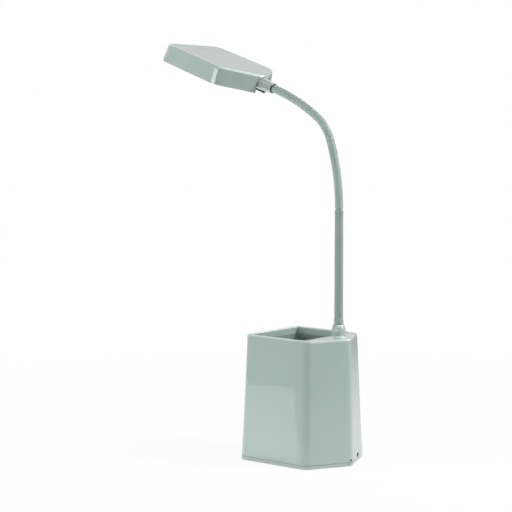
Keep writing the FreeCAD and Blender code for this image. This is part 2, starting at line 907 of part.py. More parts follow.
def trimmed_hose(rods, first, last, start, start_lean, end, end_lean):
    """Cut the bending gaps at the two ends of a stretch of hose."""
    solid = rods
    if not first:
        solid = solid.cut(at_station(station_wedge(1), start, start_lean))
    if not last:
        solid = solid.cut(at_station(station_wedge(-1), end, end_lean))
    return solid


def stretch_rod(stretch, radius):
    rods = [run.rod(radius) for run in stretch]
    return fuse_all(rods) if len(rods) > 1 else rods[0]


def add_hose():
    count = len(hose_runs)
    for index, stretch in enumerate(hose_runs):
        first = index == 0
        last = index == count - 1
        start = stretch[0].start
        start_lean = stretch[0].lean
        end = stretch[-1].end()
        end_lean = stretch[-1].end_lean()
        start_direction = stretch[0].direction(start_lean)
        end_direction = stretch[-1].direction(end_lean)
        skin = stretch_rod(stretch, hose_radius).cut(stretch_rod(stretch, hose_core_radius + hose_skin_gap))
        core = stretch_rod(stretch, hose_core_radius)
        skin = trimmed_hose(skin, first, last, start, start_lean, end, end_lean)
        core = trimmed_hose(core, first, last, start, start_lean, end, end_lean)
        if not first:
            core = core.cut(Part.makeSphere(station_ball_radius + station_ball_gap, start, start_direction))
        if not last:
            core = core.fuse(Part.makeSphere(station_ball_radius, end, end_direction))
        core = core.cut(stretch_rod(stretch, lead_hole_radius))
        if not last:
            bore = cylinder(lead_hole_radius, Vector(0, 0, 0), station_ball_radius + overrun)
            core = core.cut(at_station(bore, end, end_lean))
        nodes["hose_skin_%d" % (index + 1)] = skin
        nodes["hose_core_%d" % (index + 1)] = core


# Collar and tilt hinge, drawn in the head's own frame

def in_head_frame(shape):
    """Place a shape drawn level, with the tilt pivot at the origin and the head towards -Y."""
    placed = shape.copy()
    tilt = FreeCAD.Rotation(X_AXIS, hose_end_lean - 90)
    roll = FreeCAD.Rotation(Y_AXIS, head_roll_angle)
    turn = FreeCAD.Placement(pivot_point, tilt.multiply(roll))
    placed.Placement = turn.multiply(placed.Placement)
    return placed


collar_outer_y = pivot_reach - (hose_tail - hose_in_collar) - collar_seam_gap
ear_inner_x = knuckle_half_width + washer_gap + tilt_washer_thickness
ear_outer_x = ear_inner_x + ear_thickness


def turned_about_y(points):
    """Solid of revolution about the local Y axis, from (radius, y) points."""
    places = [Vector(radius, y, 0) for radius, y in points]
    return Part.Face(Part.makePolygon(places + [places[0]])).revolve(Vector(0, 0, 0), Y_AXIS, 360)


def make_collar():
    taper_end_y = collar_outer_y - collar_taper_length
    cone = turned_about_y([
        (0, knuckle_start), (collar_large_radius - collar_edge_round, knuckle_start),
        (collar_large_radius, knuckle_start + collar_edge_round), (collar_large_radius, taper_end_y),
        (collar_small_radius, collar_outer_y - collar_edge_round),
        (collar_small_radius - collar_edge_round, collar_outer_y), (0, collar_outer_y),
    ])
    tongue_half_height = knuckle_radius * knuckle_tongue_share
    tongue = box_between(Vector(-knuckle_half_width, 0, -tongue_half_height),
                         Vector(knuckle_half_width, knuckle_start + overrun, tongue_half_height))
    eye = cylinder(knuckle_radius, Vector(-knuckle_half_width, 0, 0), 2 * knuckle_half_width, X_AXIS)
    pin_hole = cylinder(pivot_pin_radius + pivot_running_gap, Vector(-knuckle_half_width - overrun, 0, 0),
                        2 * (knuckle_half_width + overrun), X_AXIS)
    bore_end = Vector(0, collar_outer_y - hose_in_collar - collar_seam_gap, 0)
    hose_bore = cylinder(hose_radius + hose_fit_gap, bore_end, hose_in_collar + overrun, Y_AXIS)
    lead_bore = cylinder(lead_hole_radius, Vector(0, pivot_pin_radius * 2, 0), pivot_reach, Y_AXIS)
    collar = fuse_all([cone, tongue, eye]).cut(pin_hole).cut(hose_bore).cut(lead_bore)
    return in_head_frame(collar)


def make_collar_seal():
    """Soft ring round the hose, against the end of the collar."""
    place = Vector(0, collar_outer_y, 0)
    ring = cylinder(seal_ring_radius, place, seal_ring_width, Y_AXIS)
    bore = cylinder(hose_radius + hose_fit_gap, place - Y_AXIS * overrun, seal_ring_width + 2 * overrun,
                    Y_AXIS)
    return in_head_frame(ring.cut(bore))


def make_pivot_pin():
    return in_head_frame(cylinder(pivot_pin_radius, Vector(-ear_outer_x, 0, 0), 2 * ear_outer_x, X_AXIS))


def make_tilt_washers():
    rings = []
    for side in (-1, 1):
        low_x = knuckle_half_width + washer_gap
        start = low_x if side > 0 else -low_x - tilt_washer_thickness
        disc = cylinder(tilt_washer_radius, Vector(start, 0, 0), tilt_washer_thickness, X_AXIS)
        hole = cylinder(pivot_pin_radius + thread_gap, Vector(start - overrun, 0, 0), 3 * overrun, X_AXIS)
        rings.append(in_head_frame(disc.cut(hole)))
    return Part.makeCompound(rings)


def make_tilt_bracket():
    plate_top = bracket_plate_low + bracket_plate_thickness
    pieces = []
    for side in (-1, 1):
        start = ear_inner_x if side > 0 else -ear_outer_x
        pieces.append(cylinder(ear_radius, Vector(start, 0, 0), ear_thickness, X_AXIS))
        pieces.append(box_between(Vector(start, -ear_reach, -ear_drop),
                                  Vector(start + ear_thickness, 0, plate_top)))
    pieces.append(box_between(Vector(-ear_outer_x, -ear_reach, bracket_plate_low),
                              Vector(ear_outer_x, -bracket_plate_start, plate_top)))
    bracket = fuse_all(pieces).common(slot_block(slot_end, -ear_slot_gap))
    pin_hole = cylinder(pivot_pin_radius, Vector(-ear_outer_x - overrun, 0, 0),
                        2 * (ear_outer_x + overrun), X_AXIS)
    screw_hole = cylinder(head_screw_radius + shank_gap,
                          Vector(0, bracket_screw_y, bracket_plate_low - overrun),
                          bracket_plate_thickness + 2 * overrun)
    return in_head_frame(bracket.cut(pin_hole).cut(screw_hole))


bracket_screw_y = -(ear_reach + bracket_plate_start) / 2


def make_bracket_screw():
    one = screw(head_screw_head_radius, head_screw_head_height, head_screw_radius,
                bracket_plate_thickness + head_screw_reach, screw_slot_width / 2, screw_slot_depth / 2)
    return in_head_frame(moved(one, Vector(0, bracket_screw_y, bracket_plate_low - head_screw_head_height)))


# Lamp head

head = FlaredHouse(
    house_points(head_foot_width, head_foot_narrow, head_foot_depth, head_foot_nose), -head_below_pivot,
    house_points(head_top_wide, head_top_narrow, head_top_depth, head_top_nose), head_above_pivot,
    [head_corner, head_corner, head_nose_corner, head_corner, head_corner], head_centre_y,
)
roof_under_z = head_above_pivot - head_wall
bezel_low_z = -head_below_pivot + bezel_recess
bezel_top_z = bezel_low_z + bezel_thickness
diffuser_top_z = bezel_top_z + diffuser_thickness
led_board_low_z = diffuser_top_z + diffuser_light_gap
led_board_top_z = led_board_low_z + led_board_thickness


def window_points(margin):
    """The lit window: the head's outline without its nose, moved inwards by margin."""
    narrow_right, wide_right, nose, wide_left, narrow_left = head.points(-head_below_pivot)
    corners = [narrow_right, wide_right, wide_left, narrow_left]
    return inset_polygon(corners, [margin, margin + window_nose_gap, margin, margin])


def window_block(low_z, high_z, margin):
    points = window_points(margin)
    low = rounded_wire(points, [window_corner] * len(points), low_z)
    return Part.Face(low).extrude(Vector(0, 0, high_z - low_z))


def head_screw_places():
    """Four bezel screws: two along the far edge and two beside the window on the wide side."""
    near_right, wide_right, wide_left, near_left = window_points(window_margin)
    inset = window_margin - head_wall
    far_x = head_foot_narrow * head_screw_spread_share
    far_y = head_centre_y - head_foot_depth / 2 + head_wall + head_post_radius
    side_y = wide_right[1] + window_nose_gap / 2
    return [(far_x, far_y), (-far_x, far_y), (wide_right[0] - inset, side_y), (wide_left[0] + inset, side_y)]


def led_board_screw_places():
    corners = window_points(window_margin + led_board_margin + head_post_radius)
    return corners


def slot_block(reach_back, side_gap):
    """Arched slot, open downwards and towards the neck, that the collar swings in."""
    half = slot_half_width + side_gap
    far_y = head_top_depth
    arch = cylinder(half, Vector(0, -reach_back, 0), reach_back + far_y, Y_AXIS)
    leg_half = half + liner_thickness
    legs = box_between(Vector(-leg_half, -reach_back, -head_below_pivot - overrun),
                       Vector(leg_half, far_y, 0))
    return arch.fuse(legs)


def make_slot_liners():
    """Thin soft strip on each side wall of the slot, flush with the arch above it."""
    inside = head.block(liner_gap - head_below_pivot, head_above_pivot, liner_gap)
    strips = []
    for side in (-1, 1):
        near = side * slot_half_width
        far = side * (slot_half_width + liner_thickness)
        upper = box_between(Vector(min(near, far), liner_gap - slot_end, bezel_top_z + bezel_gap),
                            Vector(max(near, far), head_top_depth, 0))
        lower = box_between(Vector(min(near, far), liner_gap - slot_open, -head_below_pivot),
                            Vector(max(near, far), head_top_depth, 0))
        strips.append(upper.fuse(lower).common(inside).removeSplitter())
    return in_head_frame(Part.makeCompound(strips))


def make_head_shell():
    outer = head.block(-head_below_pivot, head_above_pivot, 0)
    outer = outer.makeFillet(head_edge_round, edges_at_height(outer, head_above_pivot))
    cavity = head.block(-head_below_pivot - overrun, roof_under_z, head_wall)
    pocket = slot_block(slot_end + slot_wall, slot_wall)
    keep_low = bezel_top_z + bezel_gap
    pocket = pocket.common(box_between(Vector(-head_top_wide, -head_top_wide, keep_low),
                                       Vector(head_top_wide, head_top_wide, head_above_pivot)))
    posts = []
    for x, y in head_screw_places():
        posts.append(cylinder(head_post_radius, Vector(x, y, bezel_top_z + bezel_gap),
                              head_above_pivot - bezel_top_z - bezel_gap - head_wall / 2))
    for x, y in led_board_screw_places():
        posts.append(cylinder(head_post_radius, Vector(x, y, led_board_top_z),
                              head_above_pivot - led_board_top_z - head_wall / 2))
    shell = outer.cut(cavity)
    shell = shell.fuse(pocket.common(cavity))
    inside = head.block(-head_below_pivot, head_above_pivot - head_wall / 2, head_wall / 2)
    for post in posts:
        shell = shell.fuse(post.common(inside))
    shell = shell.cut(slot_block(slot_end, 0))
    plate_top = bracket_plate_low + bracket_plate_thickness
    boss = cylinder(head_post_radius, Vector(0, bracket_screw_y, plate_top),
                    head_above_pivot - plate_top - head_wall / 2)
    shell = shell.fuse(boss)
    for x, y in head_screw_places():
        shell = shell.cut(cylinder(head_screw_radius + thread_gap, Vector(x, y, bezel_top_z - overrun),
                                   head_screw_length + overrun))
    for x, y in led_board_screw_places():
        shell = shell.cut(cylinder(head_screw_radius + thread_gap, Vector(x, y, led_board_low_z - overrun),
                                   roof_under_z - led_board_low_z + overrun))
    shell = shell.cut(cylinder(head_screw_radius + thread_gap, Vector(0, bracket_screw_y, 0),
                               roof_under_z))
    return in_head_frame(shell.removeSplitter())


def make_head_bezel():
    bezel = head.block(bezel_low_z, bezel_top_z, head_wall + bezel_gap)
    bezel = bezel.cut(window_block(bezel_low_z - overrun, bezel_top_z + overrun, window_margin))
    bezel = bezel.cut(slot_block(slot_open, 0))
    for x, y in head_screw_places():
        hole = cylinder(head_screw_radius + shank_gap, Vector(x, y, bezel_low_z - overrun),
                        bezel_thickness + 2 * overrun)
        sink = cylinder(head_screw_head_radius + shank_gap, Vector(x, y, bezel_low_z - overrun),
                        overrun + head_screw_head_height)
        bezel = bezel.cut(hole).cut(sink)
    return in_head_frame(bezel)


def make_diffuser():
    return in_head_frame(window_block(bezel_top_z, diffuser_top_z, window_margin - diffuser_overlap))


def make_led_board():
    board = window_block(led_board_low_z, led_board_top_z, window_margin + led_board_margin)
    for x, y in led_board_screw_places():
        board = board.cut(cylinder(head_screw_radius + shank_gap, Vector(x, y, led_board_low_z - overrun),
                                   led_board_thickness + 2 * overrun))
    return in_head_frame(board)


def make_leds():
    corners = window_points(window_margin + led_board_margin)
    width = (corners[0][0] - corners[3][0]) * led_field_share
    low_y = corners[0][1]
    high_y = corners[1][1]
    middle_y = (low_y + high_y) / 2
    depth = (high_y - low_y) * led_field_share
    half = Vector(led_length / 2, led_width / 2, 0)
    leds = []
    for row in range(led_rows):
        for column in range(led_columns):
            x = width * (column / (led_columns - 1) - 0.5)
            y = middle_y + depth * (row / (led_rows - 1) - 0.5)
            top = Vector(x, y, led_board_low_z)
            leds.append(box_between(top - half - Vector(0, 0, led_height), top + half))
    return in_head_frame(Part.makeCompound(leds))


def make_head_screws(places, head_z, length):
    one = screw(head_screw_head_radius, head_screw_head_height, head_screw_radius, length,
                screw_slot_width / 2, screw_slot_depth / 2)
    return in_head_frame(Part.makeCompound([moved(one, Vector(x, y, head_z)) for x, y in places]))


def make_touch_disc():
    low = Vector(0, touch_disc_y, roof_under_z - touch_disc_thickness)
    return in_head_frame(cylinder(touch_disc_radius, low, touch_disc_thickness))


touch_board_top_z = roof_under_z - touch_disc_thickness - touch_board_gap


def make_touch_board():
    half = touch_board_size / 2
    low = Vector(-half, touch_disc_y - half, touch_board_top_z - touch_board_thickness)
    return in_head_frame(box_between(low, Vector(half, touch_disc_y + half, touch_board_top_z)))


def make_touch_spring():
    low = Vector(0, touch_disc_y, touch_board_top_z)
    return in_head_frame(cylinder(touch_spring_radius, low, touch_board_gap))


def add_head():
    nodes["collar"] = make_collar()
    nodes["collar_seal"] = make_collar_seal()
    nodes["pivot_pin"] = make_pivot_pin()
    nodes["tilt_washers"] = make_tilt_washers()
    nodes["tilt_bracket"] = make_tilt_bracket()
    nodes["bracket_screw"] = make_bracket_screw()
    nodes["head_shell"] = make_head_shell()
    nodes["slot_liners"] = make_slot_liners()
    nodes["head_bezel"] = make_head_bezel()
    nodes["diffuser"] = make_diffuser()
    nodes["led_board"] = make_led_board()
    nodes["leds"] = make_leds()
    nodes["bezel_screws"] = make_head_screws(
        head_screw_places(), bezel_low_z, head_screw_reach)
    nodes["led_board_screws"] = make_head_screws(
        led_board_screw_places(), led_board_low_z - head_screw_head_height,
        roof_under_z - led_board_low_z - head_screw_head_height)
    nodes["touch_disc"] = make_touch_disc()
    nodes["touch_board"] = make_touch_board()
    nodes["touch_spring"] = make_touch_spring()


def main():
    os.makedirs("parts", exist_ok=True)
    add_base()
    add_tube()
    add_hose()
    add_head()
    for name, shape in nodes.items():
        shape.exportStep("parts/%s.step" % name)
        print(name, "valid" if shape.isValid() else "INVALID", "solids", len(shape.Solids),
              "volume", round(shape.Volume, 1))
    for index, stretch in enumerate(hose_runs[1:]):
        place = stretch[0].start
        print("station", index + 1, [round(value, 4) for value in place], "lean", round(stretch[0].lean, 3))
    print("pivot", [round(value, 4) for value in pivot_point], "lean", round(hose_end_lean, 3))


main()
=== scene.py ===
import json
import math

import bmesh
import bpy
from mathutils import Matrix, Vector


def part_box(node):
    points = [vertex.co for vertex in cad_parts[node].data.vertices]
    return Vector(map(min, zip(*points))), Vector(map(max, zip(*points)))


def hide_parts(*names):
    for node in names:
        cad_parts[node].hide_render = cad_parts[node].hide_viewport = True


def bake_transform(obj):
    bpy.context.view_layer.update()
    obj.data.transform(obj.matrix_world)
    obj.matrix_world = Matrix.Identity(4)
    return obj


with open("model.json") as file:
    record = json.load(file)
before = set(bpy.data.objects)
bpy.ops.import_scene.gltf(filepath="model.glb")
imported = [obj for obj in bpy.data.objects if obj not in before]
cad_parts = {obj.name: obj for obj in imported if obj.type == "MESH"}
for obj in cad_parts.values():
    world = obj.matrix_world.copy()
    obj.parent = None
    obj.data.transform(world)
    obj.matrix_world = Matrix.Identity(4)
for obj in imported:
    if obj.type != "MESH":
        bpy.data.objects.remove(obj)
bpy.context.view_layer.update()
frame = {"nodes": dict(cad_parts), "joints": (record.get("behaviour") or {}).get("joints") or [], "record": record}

# Desk lamp with a pen cup base. Metres, in the frame of the solids: the lamp stands on z = 0, the neck is
# at +Y and the head reaches out over -Y.


# Nodes

class Value:
    """A socket that can be used in Python arithmetic."""

    def __init__(self, graph, socket):
        self.graph = graph
        self.socket = socket

    def math(self, operation, *terms, clamp=False):
        settings = {"operation": operation, "use_clamp": clamp}
        return self.graph.node("ShaderNodeMath", settings, dict(enumerate(terms)))

    def __add__(self, other):
        return self.math("ADD", self, other)

    def __sub__(self, other):
        return self.math("SUBTRACT", self, other)

    def __rsub__(self, other):
        return self.math("SUBTRACT", other, self)

    def __mul__(self, other):
        return self.math("MULTIPLY", self, other)

    __radd__ = __add__
    __rmul__ = __mul__

    def clamped(self):
        return self.math("MULTIPLY", self, 1.0, clamp=True)

    def absolute(self):
        return self.math("ABSOLUTE", self)

    def root(self):
        return self.math("SQRT", self)


class Graph:
    """A node tree, with the one method that adds a node to it."""

    def __init__(self, tree):
        self.tree = tree
        self.tree.nodes.clear()

    def node(self, kind, settings, values, output=0):
        """Add a node: its settings first, then the values or links of its sockets."""
        made = self.tree.nodes.new(kind)
        for name, setting in settings.items():
            if name == "stops":
                self.fill_ramp(made.color_ramp, setting)
            else:
                setattr(made, name, setting)
        for key, value in values.items():
            if isinstance(value, Value):
                self.tree.links.new(value.socket, made.inputs[key])
            else:
                made.inputs[key].default_value = value
        return Value(self, made.outputs[output])

    @staticmethod
    def fill_ramp(ramp, stops):
        for element, (position, colour) in zip(ramp.elements, stops):
            element.position = position
            element.color = rgba(colour)


class ShaderGraph(Graph):
    """The nodes of a finish or of the sky."""

    def __init__(self, tree, output, coordinates):
        super().__init__(tree)
        self.output = self.tree.nodes.new(output)
        self.place = self.node("ShaderNodeTexCoord", {}, {}, coordinates)

    def axis(self, index):
        return self.node("ShaderNodeSeparateXYZ", {}, {0: self.place}, index)

    def show(self, result):
        self.tree.links.new(result.socket, self.output.inputs[0])

    def show_by_ray(self, plain, mirrored, seen):
        """One shader for the light on the object, one for reflections and one for the camera."""
        camera_ray = self.node("ShaderNodeLightPath", {}, {}, "Is Camera Ray")
        glossy_ray = self.node("ShaderNodeLightPath", {}, {}, "Is Glossy Ray")
        unseen = self.node("ShaderNodeMixShader", {}, {0: glossy_ray, 1: plain, 2: mirrored})
        self.show(self.node("ShaderNodeMixShader", {}, {0: camera_ray, 1: unseen, 2: seen}))


class Paint(ShaderGraph):
    """One finish: a material with its shader."""

    def __init__(self, name, colour, roughness, metallic=0.0, coat=0.0, specular=0.5):
        self.material = bpy.data.materials.new(name)
        self.material.use_nodes = True
        super().__init__(self.material.node_tree, "ShaderNodeOutputMaterial", "Object")
        self.name = name
        self.shader = self.tree.nodes.new("ShaderNodeBsdfPrincipled")
        self.shaded = Value(self, self.shader.outputs[0])
        self.show(self.shaded)
        self.set("Base Color", rgba(colour))
        self.set("Roughness", roughness)
        self.set("Metallic", metallic)
        self.set("Coat Weight", coat)
        self.set("Specular IOR Level", specular)

    def set(self, socket, value):
        if isinstance(value, Value):
            self.tree.links.new(value.socket, self.shader.inputs[socket])
        else:
            self.shader.inputs[socket].default_value = value

    def noise(self, scale, detail=2.0, roughness=0.5, place=None):
        """Noise with a scale in cells per metre."""
        return self.node("ShaderNodeTexNoise", {}, {
            "Vector": place or self.place, "Scale": scale, "Detail": detail, "Roughness": roughness,
        })

    def tint(self, colour, pattern, low, high):
        """Base colour that follows a pattern: low and high are each its value and the shade there."""
        stops = [(position, shade(colour, factor)) for position, factor in (low, high)]
        tinted = self.node("ShaderNodeValToRGB", {"stops": stops}, {0: pattern})
        self.set("Base Color", tinted)
        return tinted

    def uneven_gloss(self, pattern, roughness, spread):
        """Roughness that follows a pattern, with its middle at the pattern's 0.5."""
        self.set("Roughness", pattern * spread + (roughness - spread / 2))

    def bump(self, height, strength, distance):
        self.set("Normal", self.node("ShaderNodeBump", {}, {
            "Strength": strength, "Distance": distance, "Height": height,
        }))


def rgba(colour):
    return (*colour, 1.0)


def shade(colour, factor):
    return tuple(min(1.0, part * factor) for part in colour)


def step_up(value, start, end):
    """0 below start, 1 above end, and a straight ramp between them."""
    return ((value - start) * (1.0 / (end - start))).clamped()


def step_down(value, start, end):
    """1 below start, 0 above end, and a straight ramp between them."""
    return ((end - value) * (1.0 / (end - start))).clamped()


# Finishes. Colours are linear, and bump depths are in metres.

sage = (0.385, 0.472, 0.437)
sage_dark = (0.300, 0.375, 0.345)
sage_collar = (0.370, 0.450, 0.418)
dark_rubber = (0.030, 0.031, 0.030)
board_green = (0.020, 0.105, 0.048)
wrap_blue = (0.050, 0.135, 0.290)
milky_white = (0.830, 0.850, 0.840)

drift_scale = 28.0
wear_scale = 160.0
coarse_grain_width = 7.0
coarse_grain_depth = 0.6
drawn_line_scale = 900.0
drawn_line_stretch = (1.0, 1.0, 0.06)
drawn_line_wear = 0.16

body_roughness = 0.34
body_coat = 0.95
ink_shade = 0.42
ink_roughness_rise = 0.25
ink_coat_loss = 0.75


def mottled(paint, colour, scale, spread):
    """Base colour that drifts a little, lighter and darker, over the surface."""
    return paint.tint(colour, paint.noise(scale, detail=3.0), (0.30, 1.0 - spread), (0.70, 1.0 + spread))


def moulded(name, colour, roughness, coat=0.0, grain=2600.0, spread=0.02, depth=0.00002, wear=0.06,
            specular=0.5):
    """Moulded plastic, rubber or cast metal: a faint drift of colour, fine skin texture, uneven gloss."""
    paint = Paint(name, colour, roughness, coat=coat, specular=specular)
    paint.drifting_colour = mottled(paint, colour, drift_scale, spread)
    paint.uneven_gloss(paint.noise(wear_scale, detail=4.0, roughness=0.6), roughness, wear)
    skin = paint.noise(grain) + paint.noise(grain / coarse_grain_width) * coarse_grain_depth
    paint.bump(skin, strength=0.35, distance=depth)
    return paint


def brushed(name, colour, roughness):
    """Plain or plated steel with fine drawn lines."""
    paint = Paint(name, colour, roughness, metallic=1.0)
    lined = paint.node("ShaderNodeMapping", {}, {"Vector": paint.place, "Scale": drawn_line_stretch})
    lines = paint.noise(drawn_line_scale, detail=3.0, place=lined)
    paint.tint(colour, lines, (0.3, 0.86), (0.7, 1.08))
    paint.uneven_gloss(lines, roughness, drawn_line_wear)
    paint.bump(lines, strength=0.2, distance=0.00002)
    return paint


def body_finish(name):
    """High gloss housing plastic: a mirror-smooth skin over a softer base."""
    paint = moulded(name, sage, body_roughness, coat=body_coat, spread=0.010, depth=0.000004, specular=0.3)
    paint.set("Coat Roughness", 0.006)
    return paint


def touch_finish(name):
    """The housing of the head, with a round touch mark printed on its top in matt ink."""
    paint = body_finish(name)
    offset = paint.node("ShaderNodeVectorMath", {"operation": "SUBTRACT"}, {0: paint.place, 1: tuple(pivot)})

    def measured_along(direction):
        values = {0: offset, 1: tuple(direction)}
        return paint.node("ShaderNodeVectorMath", {"operation": "DOT_PRODUCT"}, values, "Value")

    across = measured_along(head_x)
    from_mark = measured_along(head_y) - touch_mark_y
    reach = (across * across + from_mark * from_mark).root()
    ring = step_down((reach - touch_mark_radius).absolute(), *touch_ring_fade)
    dot = step_down(reach, *touch_dot_fade)
    ink = (ring + dot).clamped()
    # 6 and 7 are the node's colour inputs, and 2 is its colour output
    values = {0: ink, 6: paint.drifting_colour, 7: rgba(shade(sage, ink_shade))}
    paint.set("Base Color", paint.node("ShaderNodeMix", {"data_type": "RGBA"}, values, 2))
    paint.set("Coat Weight", ink * -ink_coat_loss + body_coat)
    paint.set("Roughness", ink * ink_roughness_rise + body_roughness)
    return paint


def board_finish(name):
    """Circuit board with fine tracks under its solder mask."""
    paint = Paint(name, board_green, roughness=0.35, coat=0.4)
    tracks = paint.node("ShaderNodeTexVoronoi", {"feature": "DISTANCE_TO_EDGE"}, {
        "Vector": paint.place, "Scale": 620.0})
    paint.tint(board_green, tracks, (0.03, 1.7), (0.09, 1.0))
    paint.bump(tracks, strength=0.2, distance=0.00003)
    return paint


def cell_finish(name):
    """Shrink wrap of the cell, with a few faint folds."""
    paint = Paint(name, wrap_blue, roughness=0.32, coat=0.3)
    folds = paint.node("ShaderNodeTexWave", {"wave_type": "BANDS", "bands_direction": "X"}, {
        "Vector": paint.place, "Scale": 90.0, "Distortion": 3.0, "Detail": 2.0}, "Fac")
    paint.tint(wrap_blue, folds, (0.1, 0.9), (0.9, 1.1))
    paint.bump(folds, strength=0.25, distance=0.00004)
    return paint


def lens_finish(name):
    """Milky diffuser with a fine prismatic skin."""
    paint = Paint(name, milky_white, roughness=0.38)
    cells = paint.node("ShaderNodeTexVoronoi", {}, {"Vector": paint.place, "Scale": 900.0})
    paint.tint(milky_white, cells, (0.0, 1.03), (0.8, 0.94))
    paint.bump(cells, strength=0.4, distance=0.00006)
    return paint


def rubber_finish(name, colour, roughness, depth=0.00005, specular=0.5):
    """Soft rubber: a finer grain than moulded plastic has, and more uneven."""
    return moulded(name, colour, roughness, grain=3400.0, spread=0.05, depth=depth, wear=0.12,
                   specular=specular)


def painted_finish(name, colour):
    """Painted steel tube: fine orange peel under a satin coat."""
    roughness = 0.30
    paint = Paint(name, colour, roughness, coat=0.2)
    mottled(paint, colour, scale=40.0, spread=0.02)
    peel = paint.noise(1500.0, detail=1.0)
    paint.uneven_gloss(peel, roughness, spread=0.08)
    paint.bump(peel, strength=0.25, distance=0.00002)
    return paint


# The head's own axes at rest: head_x is the tilt axis, and head_y runs along the head, back to the neck.
# The head leans from the vertical by head_lean.

joints = {joint["name"]: joint for joint in frame["joints"]}


def joint_place(name):
    return Vector(joints[name]["pos_m"])


def neck_direction(lean):
    """Direction up the neck where it leans from the vertical by an angle."""
    return Vector((0.0, -math.sin(lean), math.cos(lean)))


touch_mark_y = -0.0740
touch_mark_radius = 0.0030
touch_ring_fade = (0.0003, 0.0005)
touch_dot_fade = (0.0006, 0.0008)
pivot = joint_place("head_tilt")
head_x = Vector(joints["head_tilt"]["axis"])
head_lean = math.radians(72.31)
head_y = -neck_direction(head_lean)


# One finish for each material slot of the record, and those of three nodes that differ from their slot's

slot_finishes = {paint.name: paint for paint in (
    body_finish("shell_plastic"),
    rubber_finish("pad_rubber", dark_rubber, roughness=0.72),
    brushed("screw_steel", (0.56, 0.56, 0.54), roughness=0.34),
    moulded("weight_iron", (0.040, 0.041, 0.043), roughness=0.62, grain=700.0, spread=0.12, depth=0.00012,
            wear=0.2),
    moulded("tray_plastic", (0.022, 0.024, 0.024), roughness=0.48, spread=0.05),
    cell_finish("cell_wrap"),
    brushed("contact_metal", (0.62, 0.60, 0.53), roughness=0.28),
    board_finish("board"),
    moulded("chip", (0.012, 0.012, 0.013), roughness=0.42, spread=0.08),
    moulded("light_guide", (0.016, 0.018, 0.018), roughness=0.16, coat=0.5, spread=0.05),
    rubber_finish("lead", (0.018, 0.018, 0.018), roughness=0.42),
    painted_finish("tube_paint", shade(sage_dark, 0.92)),
    brushed("nut_steel", (0.52, 0.52, 0.50), roughness=0.36),
    rubber_finish("hose_rubber", shade(sage_dark, 1.12), roughness=0.36, depth=0.00001, specular=0.12),
    brushed("hose_steel", (0.50, 0.50, 0.49), roughness=0.38),
    moulded("collar_plastic", sage_collar, roughness=0.20, coat=0.4, spread=0.015),
    moulded("washer_plastic", (0.66, 0.66, 0.62), roughness=0.45),
    lens_finish("diffuser"),
    moulded("led", (0.74, 0.66, 0.24), roughness=0.25, coat=0.6, spread=0.05),
)}

own_finishes = {
    "head_shell": touch_finish("head_shell_plastic"),
    # painted shade: the pen cup is the housing's sage, darkened to 0.62 for the shade deep inside the cup
    "pen_cup": moulded("cup_plastic", shade(sage, 0.62), roughness=0.45, coat=0.12),
    # painted shade: the socket's metal is made near black, for the shade inside its opening
    "usb_socket": brushed("socket_metal", (0.025, 0.025, 0.026), roughness=0.50),
}


def dress(obj, paint):
    obj.data.materials.clear()
    obj.data.materials.append(paint.material)


node_slots = {entry["node"]: entry["material_slot"] for entry in frame["record"]["subparts"]}
for node, obj in frame["nodes"].items():
    dress(obj, own_finishes.get(node, slot_finishes[node_slots[node]]))


# Geometry trees

class Tree(Graph):
    """A geometry node group with named inputs."""

    def __init__(self, name, inputs):
        super().__init__(bpy.data.node_groups.new(name, "GeometryNodeTree"))
        interface = self.tree.interface
        interface.new_socket("Geometry", in_out="INPUT", socket_type="NodeSocketGeometry")
        self.keys = {}
        for label, (kind, value) in inputs.items():
            socket = interface.new_socket(label, in_out="INPUT", socket_type="NodeSocket" + kind)
            socket.default_value = value
            self.keys[label] = socket.identifier
        interface.new_socket("Geometry", in_out="OUTPUT", socket_type="NodeSocketGeometry")
        self.source = self.tree.nodes.new("NodeGroupInput")
        self.result = self.tree.nodes.new("NodeGroupOutput")

    def input(self, label):
        return Value(self, self.source.outputs[label])

    def finish(self, geometry, paint):
        whole = self.node("GeometryNodeRealizeInstances", {}, {0: geometry})
        coloured = self.node("GeometryNodeSetMaterial", {}, {"Geometry": whole, "Material": paint.material})
        self.tree.links.new(coloured.socket, self.result.inputs[0])

    def apply(self, name, base_mesh, values):
        """Run the tree on a mesh and keep the result as a plain object."""
        carrier = bpy.data.objects.new(name + "_carrier", base_mesh)
        bpy.context.scene.collection.objects.link(carrier)
        modifier = carrier.modifiers.new("tree", "NODES")
        modifier.node_group = self.tree
        for label, value in values.items():
            modifier[self.keys[label]] = value
        bpy.context.view_layer.update()
        depsgraph = bpy.context.evaluated_depsgraph_get()
        mesh = bpy.data.meshes.new_from_object(carrier.evaluated_get(depsgraph))
        carrier.modifiers.remove(modifier)
        bpy.data.objects.remove(carrier)
        return keep(name, mesh)


weld_distance = 0.000001


def keep(name, mesh):
    """Weld a mesh, turn its faces outwards and put it in the scene."""
    shape = bmesh.new()
    shape.from_mesh(mesh)
    bmesh.ops.remove_doubles(shape, verts=shape.verts, dist=weld_distance)
    bmesh.ops.recalc_face_normals(shape, faces=shape.faces)
    shape.to_mesh(mesh)
    shape.free()
    mesh.name = name
    obj = bpy.data.objects.new(name, mesh)
    bpy.context.scene.collection.objects.link(obj)
    return obj


def smooth(mesh, angle):
    """Smooth shading that keeps edges sharper than angle crisp."""
    mesh.shade_smooth()
    mesh.set_sharp_from_angle(angle=angle)


def path_mesh(points):
    mesh = bpy.data.meshes.new("path")
    mesh.from_pydata([tuple(point) for point in points], [(i, i + 1) for i in range(len(points) - 1)], [])
    return mesh


# Gooseneck: the line through the stations is a chain of arcs, rebuilt from the joints' places

